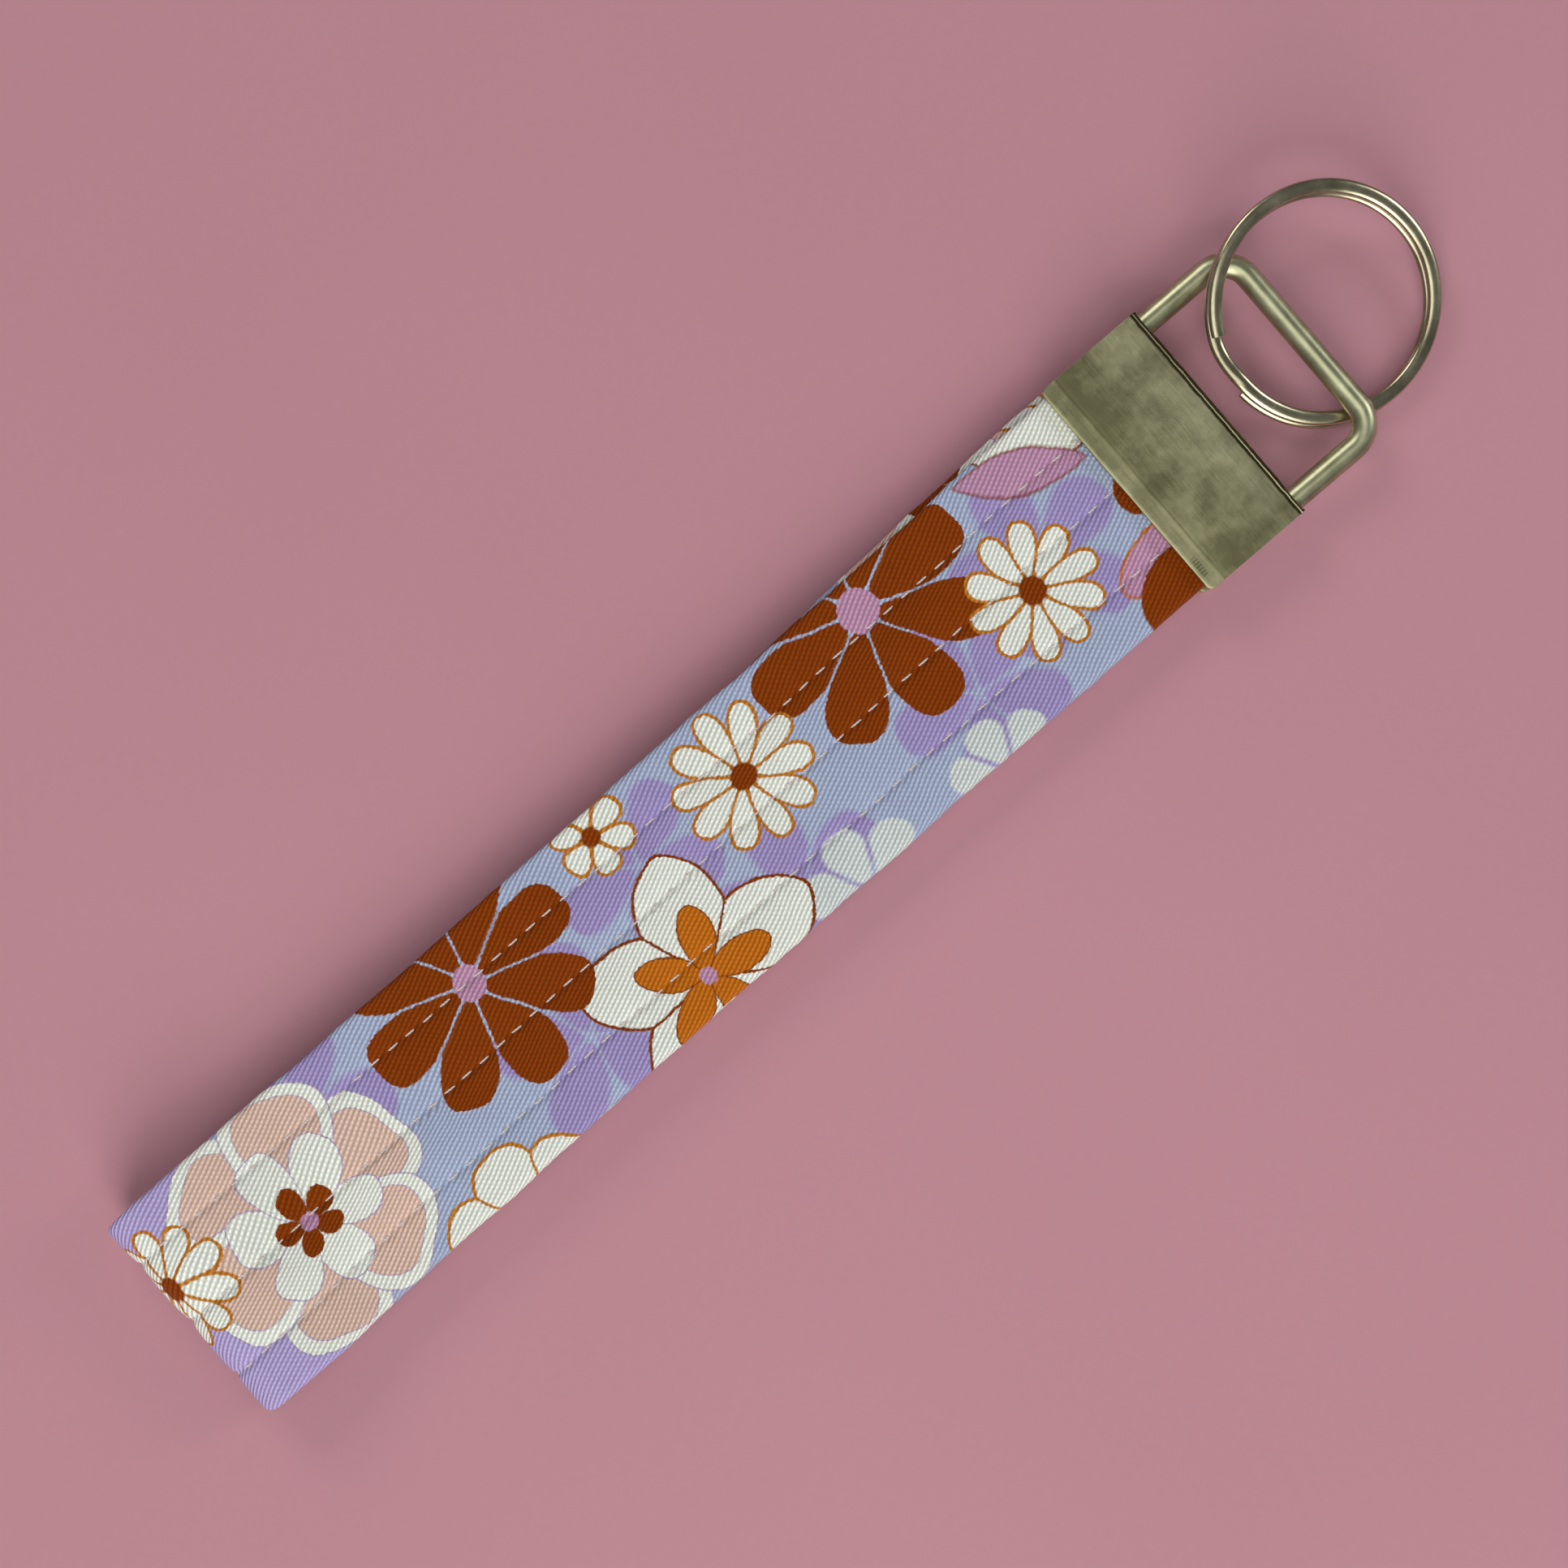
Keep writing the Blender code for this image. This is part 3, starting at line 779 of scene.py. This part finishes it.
def stitch_piece(name, start, end, material):
    """Every stitch of the three rows between start and end, on both faces."""
    template = bmesh.new()
    bmesh.ops.create_uvsphere(template, u_segments=6, v_segments=8, radius=1.0)
    bmesh.ops.rotate(template, matrix=Matrix.Rotation(math.pi / 2, 3, "Y"), verts=template.verts)
    mould = bpy.data.meshes.new(name + "_mould")
    template.to_mesh(mould)
    template.free()
    shape = bmesh.new()
    layer = shape.loops.layers.uv.new("UVMap")
    for index, row in enumerate(ROW_PLACES):
        for outer in (True, False):
            offset = (index * 0.37 + (0 if outer else 0.5)) * STITCH_PITCH
            number = math.ceil((start + offset) / STITCH_PITCH)
            middle = number * STITCH_PITCH - offset
            while middle < end:
                add_stitch(shape, mould, layer, middle, row, outer)
                middle += STITCH_PITCH
    bpy.data.meshes.remove(mould)
    return new_piece(name, shape, material, 60)


def add_stitch(shape, mould, layer, middle, row, outer):
    """One stitch: a short thread that rises from one needle hole and dives into the next."""
    before = len(shape.verts)
    faces_before = len(shape.faces)
    shape.from_mesh(mould)
    shape.verts.ensure_lookup_table()
    shape.faces.ensure_lookup_table()
    side = 1 if outer else -1
    lean = 0.10 * ripple(middle * 1.7, row, side)
    stretch = 1 + 0.08 * ripple(middle * 2.3, row, side * 5.0)
    for vert in shape.verts[before:]:
        dx, dy, dz = vert.co
        s = middle + dx * STITCH_HALF * stretch
        y = row + dy * THREAD_HALF_WIDTH + lean * dx
        lift = 0.06 + dz * THREAD_HALF_WIDTH * 0.8 - 0.2 * dx * dx
        base = strap_point(middle, (y, side * 1.0, 0))
        (x, z), normal = PATH.at(s)
        (x_mid, z_mid), _ = PATH.at(middle)
        out = side * lift
        vert.co = STRAP @ Vector(
            (base.x + x - x_mid + normal[0] * out, base.y, base.z + z - z_mid + normal[1] * out)
        )
    for face in shape.faces[faces_before:]:
        for loop in face.loops:
            loop[layer].uv = (loop.vert.co.x, loop.vert.co.y)


# Stretches of strap: name, start, end, what it rides on or bends between, and where it bends.
SPLIT = 33.0


def strap_stretches():
    end = PATH.end
    return (
        ("front_mouth", -TAIL_END, SPLIT, ("clamp", "strap_front_near"), (0.4, 26.0)),
        ("front_middle", SPLIT, 2 * MID_HINGE - SPLIT, ("strap_front_near", "strap_front_far"),
         (MID_HINGE - 26, MID_HINGE + 26)),
        ("front_fold", 2 * MID_HINGE - SPLIT, PATH.tip, ("strap_front_far", "strap_fold"),
         (FOLD_HINGE - 22, FOLD_HINGE + 16)),
        ("back_fold", PATH.tip, end - 2 * MID_HINGE + SPLIT, ("strap_fold", "strap_back_far"),
         (end - FOLD_HINGE - 16, end - FOLD_HINGE + 22)),
        ("back_middle", end - 2 * MID_HINGE + SPLIT, end - SPLIT,
         ("strap_back_far", "strap_back_near"), (end - MID_HINGE - 26, end - MID_HINGE + 26)),
        ("back_mouth", end - SPLIT, end - 0.02, ("strap_back_near",), None),
        ("back_tail", end - MOUTH_HINGE - 0.98, end + TAIL_END, ("clamp",), None),
    )


HIDDEN_BY = {
    "front_mouth": ("front_tail", "front_near"),
    "front_middle": ("front_far",),
    "front_fold": ("fold",),
    "back_fold": ("back_far",),
    "back_middle": ("back_near",),
    "back_tail": ("back_tail",),
}


def path_place(s):
    (x, z), _ = PATH.at(s)
    return STRAP @ Vector((x, 0, z))


def attach(piece, bodies, bend):
    if bend is None:
        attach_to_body(piece, bodies[0])
    else:
        path_place(bend[0])
        path_place(bend[1])
        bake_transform(piece)


def make_strap():
    cloth = printed_cotton()
    thread = pale_thread()
    pivot = PATH.end - MOUTH_HINGE
    hinges = {"back_mouth": (pivot, 1), "back_tail": (pivot, -1)}
    for name, start, end, bodies, bend in strap_stretches():
        cover = cover_piece(f"cotton_{name}", start, end, cloth, hinges.get(name))
        attach(cover, bodies, bend)
        (end - start) * MM
        hidden = [
            node for part in HIDDEN_BY.get(name, ()) for node in frame["nodes"]
            if node.endswith("_" + part)
        ]
        rows = [node for node in hidden if node.startswith("topstitch")]
        fabric = [node for node in hidden if node not in rows]
        if fabric:
            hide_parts(*fabric)
        if name == "back_tail":
            continue
        stitches = stitch_piece(
            f"stitches_{name}", max(start, FIRST_STITCH), min(end, PATH.end - FIRST_STITCH), thread
        )
        attach(stitches, bodies, bend)
        if rows:
            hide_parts(*rows)


# ------------------------------------------------------------------ clamp

SHEET = 0.9
CRIMP = 2.0
CRIMP_STEP = 0.03
NOSE_RADIUS = 1.1
# How far the jaws stand proud of the plain sheet at the lips, at the fold and at the sides.
LIP_PROUD = 0.2
NOSE_PROUD = 0.3
SIDE_PROUD = 0.05
WINDOW = (12.35, 15.8)
WINDOW_HALF_HEIGHT = 2.55
CORNER = 0.7


def clamp_path():
    """The sheet's middle line from the upper lip round the fold to the lower lip."""
    height = CLAMP_HALF_HEIGHT - SHEET / 2
    radius = NOSE_RADIUS - SHEET / 2
    nose = CLAMP_LENGTH + NOSE_PROUD - SHEET / 2
    upper = [(x, height - CRIMP_STEP) for x in (-LIP_PROUD, 0.3, 0.8, 1.3)]
    upper += [
        (CRIMP + (share - 0.5) * 1.4, height - CRIMP_STEP * (1 - smooth(share)))
        for share in (0.0, 0.15, 0.3, 0.45, 0.6, 0.75, 0.9, 1.0)
    ]
    upper += [(3.4 + step * 0.9, height) for step in range(0, 11)]
    for step in range(10):
        angle = math.pi / 2 * (1 - step / 9)
        upper.append(
            (nose - radius + radius * math.cos(angle), height - radius + radius * math.sin(angle))
        )
    upper.append((nose, 1.0))
    return upper + [(x, -z) for x, z in reversed(upper)]


def clamp_columns():
    edges = [CLAMP_HALF_WIDTH + SIDE_PROUD]
    edges += [CLAMP_HALF_WIDTH - step for step in (0.1, 0.2)]
    edges += [WINDOW[1] - 0.2 * step for step in range(0, 3)]
    edges += [14.6, 14.0, 13.4, 12.8, WINDOW[0]]
    edges += [12.0 - step * 1.0 for step in range(13)]
    return edges + [-y for y in reversed(edges) if y > 0]


def make_clamp(material):
    path = clamp_path()
    columns = clamp_columns()

    def place(column, row):
        x, z = path[row]
        y = columns[column]
        over = max(0.0, abs(y) - (CLAMP_HALF_WIDTH - CORNER))
        if x < 2 and over > 0:
            x += (CORNER - math.sqrt(max(0.0, CORNER ** 2 - over ** 2))) * (1 - x / 2)
        dent = 0.05 * ripple(x * 0.12, y * 0.1, 2.0) * (1 if z > 0 else -1)
        if x < CLAMP_LENGTH - 1.5:
            z += dent
        return HARDWARE @ Vector((x, y, z)), (x * MM, y * MM)

    shape = sheet_grid(len(columns) - 1, len(path) - 1, place)
    bmesh.ops.remove_doubles(shape, verts=shape.verts, dist=0.001 * MM)
    inside = HARDWARE.inverted()
    in_window = []
    for face in shape.faces:
        centre = inside @ face.calc_center_median()
        low_enough = centre.x > CLAMP_LENGTH - 1.0 and abs(centre.z) < WINDOW_HALF_HEIGHT
        if low_enough and WINDOW[0] < abs(centre.y) < WINDOW[1]:
            in_window.append(face)
    bmesh.ops.delete(shape, geom=in_window, context="FACES")
    bmesh.ops.recalc_face_normals(shape, faces=shape.faces)
    piece = new_piece("clamp_jaws", shape, material)
    wall = piece.modifiers.new("sheet", "SOLIDIFY")
    wall.thickness = SHEET * MM
    wall.offset = 0.0
    wall.use_even_offset = True
    round_edges(piece, 0.16, 3, 50)
    piece.data.shade_smooth()
    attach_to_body(piece, "clamp")
    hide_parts("clamp_shell")
    return piece


def round_edges(piece, width, segments, angle):
    bevel = piece.modifiers.new("edges", "BEVEL")
    bevel.width = width * MM
    bevel.segments = segments
    bevel.limit_method = "ANGLE"
    bevel.angle_limit = math.radians(angle)
    bevel.harden_normals = False


def make_teeth(material):
    """Small pressed teeth inside both lips, biting into the strap."""
    shape = bmesh.new()
    shape.loops.layers.uv.new("UVMap")
    inner = CLAMP_HALF_HEIGHT - SHEET - CRIMP_STEP
    for jaw in (1, -1):
        for tooth in range(9):
            y = 26.0 * (tooth / 8 - 0.5)
            turn = Matrix.Rotation(math.pi if jaw > 0 else 0.0, 4, "X")
            place = Matrix.Translation((1.1, y, jaw * (inner - 0.2)))
            bmesh.ops.create_cone(
                shape, cap_ends=True, segments=8, radius1=0.7, radius2=0.12, depth=0.8,
                matrix=place @ turn,
            )
    bmesh.ops.transform(shape, matrix=HARDWARE, verts=shape.verts)
    piece = new_piece("clamp_teeth", shape, material, 30)
    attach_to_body(piece, "clamp")


# ------------------------------------------------------------------ bail and split ring

BAIL_WIRE = 3.0
BAIL_PLATING = 0.05
WIRE_SIDES = 28
BAIL_LEG = 14.2
BAR_CORNER = 3.8
PIN_CORNER = 1.7
PIN_END = 3.0


def poly_wire(name, points, section_points, material, matrix, smooth_deg):
    """Sweeps a closed section along points and makes it a mesh in the frame."""
    profile_data = bpy.data.curves.new(name + "_section", "CURVE")
    profile_data.dimensions = "2D"
    add_poly(profile_data, section_points, True)
    profile = bpy.data.objects.new(name + "_section", profile_data)
    data = bpy.data.curves.new(name, "CURVE")
    data.dimensions = "3D"
    data.twist_mode = "Z_UP"
    data.bevel_mode = "OBJECT"
    data.bevel_object = profile
    data.use_fill_caps = True
    add_poly(data, points, False)
    helper = bpy.data.objects.new(name + "_line", data)
    scene = bpy.context.scene.collection
    scene.objects.link(profile)
    scene.objects.link(helper)
    evaluated = helper.evaluated_get(bpy.context.evaluated_depsgraph_get())
    mesh = bpy.data.meshes.new_from_object(evaluated)
    for item in (helper, profile):
        bpy.data.objects.remove(item, do_unlink=True)
    shape = bmesh.new()
    shape.from_mesh(mesh)
    bpy.data.meshes.remove(mesh)
    bmesh.ops.remove_doubles(shape, verts=shape.verts, dist=0.002)
    bmesh.ops.transform(shape, matrix=matrix, verts=shape.verts)
    bmesh.ops.recalc_face_normals(shape, faces=shape.faces)
    return new_piece(name, shape, material, smooth_deg)


def add_poly(data, points, cyclic):
    spline = data.splines.new("POLY")
    spline.points.add(len(points) - 1)
    for slot, point in zip(spline.points, points):
        slot.co = (*point, 1.0)
    spline.use_cyclic_u = cyclic


def arc(centre, radius, start, end, steps):
    points = []
    for step in range(steps + 1):
        angle = math.radians(start + (end - start) * step / steps)
        points.append(
            (centre[0] + radius * math.cos(angle), centre[1] + radius * math.sin(angle), 0.0)
        )
    return points


def make_bail(material):
    pivot = joint_place("bail_hinge")
    low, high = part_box("bail")
    bar = Vector((high[0] - BAIL_WIRE / 2 * MM, pivot.y, high[2] - BAIL_WIRE / 2 * MM))
    reach = (bar - pivot).length / MM
    tilt = -math.atan2(bar.z - pivot.z, bar.x - pivot.x)
    half = [(0.0, PIN_END, 0.0), (0.0, 8.0, 0.0)]
    half += arc((PIN_CORNER, BAIL_LEG - PIN_CORNER), PIN_CORNER, 180, 90, 12)
    half += arc((reach - BAR_CORNER, BAIL_LEG - BAR_CORNER), BAR_CORNER, 90, 0, 20)
    half += [(reach, y, 0.0) for y in (8.0, 6.0, 4.0, 2.0)]
    path = half + [(reach, 0.0, 0.0)] + [(x, -y, z) for x, y, z in reversed(half)]
    thick = BAIL_WIRE / 2 + BAIL_PLATING
    turns = [2 * math.pi * k / WIRE_SIDES for k in range(WIRE_SIDES)]
    ring = [(thick * math.cos(turn), thick * math.sin(turn), 0) for turn in turns]
    matrix = Matrix.Translation(pivot) @ Matrix.Rotation(tilt, 4, "Y") @ Matrix.Scale(MM, 4)
    piece = poly_wire("bail_wire", path, ring, material, matrix, 50)
    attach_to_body(piece, "bail")
    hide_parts("bail")


RING_WIDTH = 1.8
RING_HEIGHT = 1.05
COIL_GAP = 0.12
RING_SLOPE = 0.24
# Angles round the ring, in degrees: where its wire starts, jogs down a level, and ends.
RING_START = 187.0
JOG = (517.0, 547.0)
RING_END = 877.0
RING_STEPS = 345
LOWER_TURN_SLIP = (-0.34, -0.3)


def make_ring(material):
    low, high = (Vector(corner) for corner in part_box("split_ring"))
    centre = (low + high) / 2
    radius = (high.x - low.x) / 2 / MM - RING_WIDTH / 2
    points = []
    for step in range(RING_STEPS + 1):
        angle = RING_START + (RING_END - RING_START) * step / RING_STEPS
        share = smooth((angle - JOG[0]) / (JOG[1] - JOG[0]))
        level = (RING_HEIGHT + COIL_GAP) / 2 * (2 * share - 1)
        turn = math.radians(angle)
        slip_x, slip_y = (part * (1 - share) for part in LOWER_TURN_SLIP)
        points.append((radius * math.cos(turn) + slip_x, radius * math.sin(turn) + slip_y, level))
    section_points = []
    for k in range(20):
        angle = 2 * math.pi * k / 20
        c, s = math.cos(angle), math.sin(angle)
        section_points.append(
            (math.copysign(abs(c) ** 0.85, c) * RING_WIDTH / 2,
             math.copysign(abs(s) ** 0.85, s) * RING_HEIGHT / 2, 0)
        )
    matrix = Matrix.Translation(centre) @ Matrix.Rotation(math.atan(RING_SLOPE), 4, "X")
    piece = poly_wire(
        "double_coil_ring", points, section_points, material, matrix @ Matrix.Scale(MM, 4), 40
    )
    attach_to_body(piece, "ring")
    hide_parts("split_ring")


# ------------------------------------------------------------------ stage

VIEW_TURN = 40.6
VIEW_WIDTH = 192.2
LENS = 60.0
VIEW_MIDDLE = (-55.3, 0.06)
SKY_LIGHT = 0.15
# Area lights: name, watts, size, place and colour.
LIGHTS = (
    ("window", 6.5, 0.7, (-0.5, -0.62, 0.55), (1.0, 0.98, 0.95)),
    ("overhead", 1.9, 0.6, (-0.22, -0.1, 0.9), (1.0, 0.99, 0.95)),
    ("fill", 1.9, 0.4, (0.1, 0.75, 0.55), (1.0, 0.97, 0.93)),
    ("rim", 1.35, 0.3, (0.7, -0.2, 0.4), (0.95, 0.97, 1.0)),
)


def make_floor():
    finish = Finish("pale_table", roughness=0.75)
    place = finish.place()
    soft = finish.noise(place, 900.0, 3.0)
    cloud = finish.noise(place, 12.0, 2.0)
    mottle = cloud * 0.6 + soft * 0.3
    finish.set("Base Color", finish.mix(mottle, ink(186, 131, 143), ink(198, 143, 155)))
    finish.bump(soft, 0.12, 0.2 * MM)
    shape = bmesh.new()
    bmesh.ops.create_grid(shape, x_segments=1, y_segments=1, size=1.5)
    new_piece("table", shape, finish.material)


def add_light(name, energy, size, place, colour):
    data = bpy.data.lights.new(name, "AREA")
    data.energy = energy
    data.size = size
    data.color = colour
    lamp = bpy.data.objects.new(name, data)
    lamp.location = place
    lamp.rotation_mode = "QUATERNION"
    lamp.rotation_quaternion = (-Vector(place)).to_track_quat("-Z", "Y")
    bpy.context.scene.collection.objects.link(lamp)


def make_lights():
    world = bpy.data.worlds.new("studio")
    world.use_nodes = True
    bpy.context.scene.world = world
    background = world.node_tree.nodes["Background"]
    background.inputs["Color"].default_value = (0.92, 0.94, 1.0, 1.0)
    background.inputs["Strength"].default_value = SKY_LIGHT
    for light in LIGHTS:
        add_light(*light)


def make_camera():
    """Looks straight down, turned so that the strap rises to the right."""
    middle = CLAMP_MOUTH + Vector((VIEW_MIDDLE[0], VIEW_MIDDLE[1], 0)) * MM
    data = bpy.data.cameras.new("camera")
    data.lens = LENS
    data.sensor_width = 36.0
    camera = bpy.data.objects.new("camera", data)
    distance = VIEW_WIDTH * LENS / data.sensor_width * MM
    camera.location = (middle.x, middle.y, CLAMP_HIGH.z + distance)
    camera.rotation_euler = (0, 0, math.radians(-VIEW_TURN))
    bpy.context.scene.collection.objects.link(camera)
    bpy.context.scene.camera = camera
    bpy.context.scene.view_settings.view_transform = "Standard"


make_strap()
SATIN = nickel("satin_nickel", 0.34, 1.0, ink(148, 146, 106), ink(210, 208, 164))
POLISHED = nickel("polished_nickel", 0.24, 0.0, ink(150, 143, 112), ink(208, 202, 172))
RUBBED = nickel("rubbed_nickel", 0.37, 0.0, ink(146, 146, 114), ink(208, 208, 172))
make_clamp(SATIN)
make_teeth(SATIN)
make_bail(RUBBED)
make_ring(POLISHED)
make_floor()
make_lights()
make_camera()
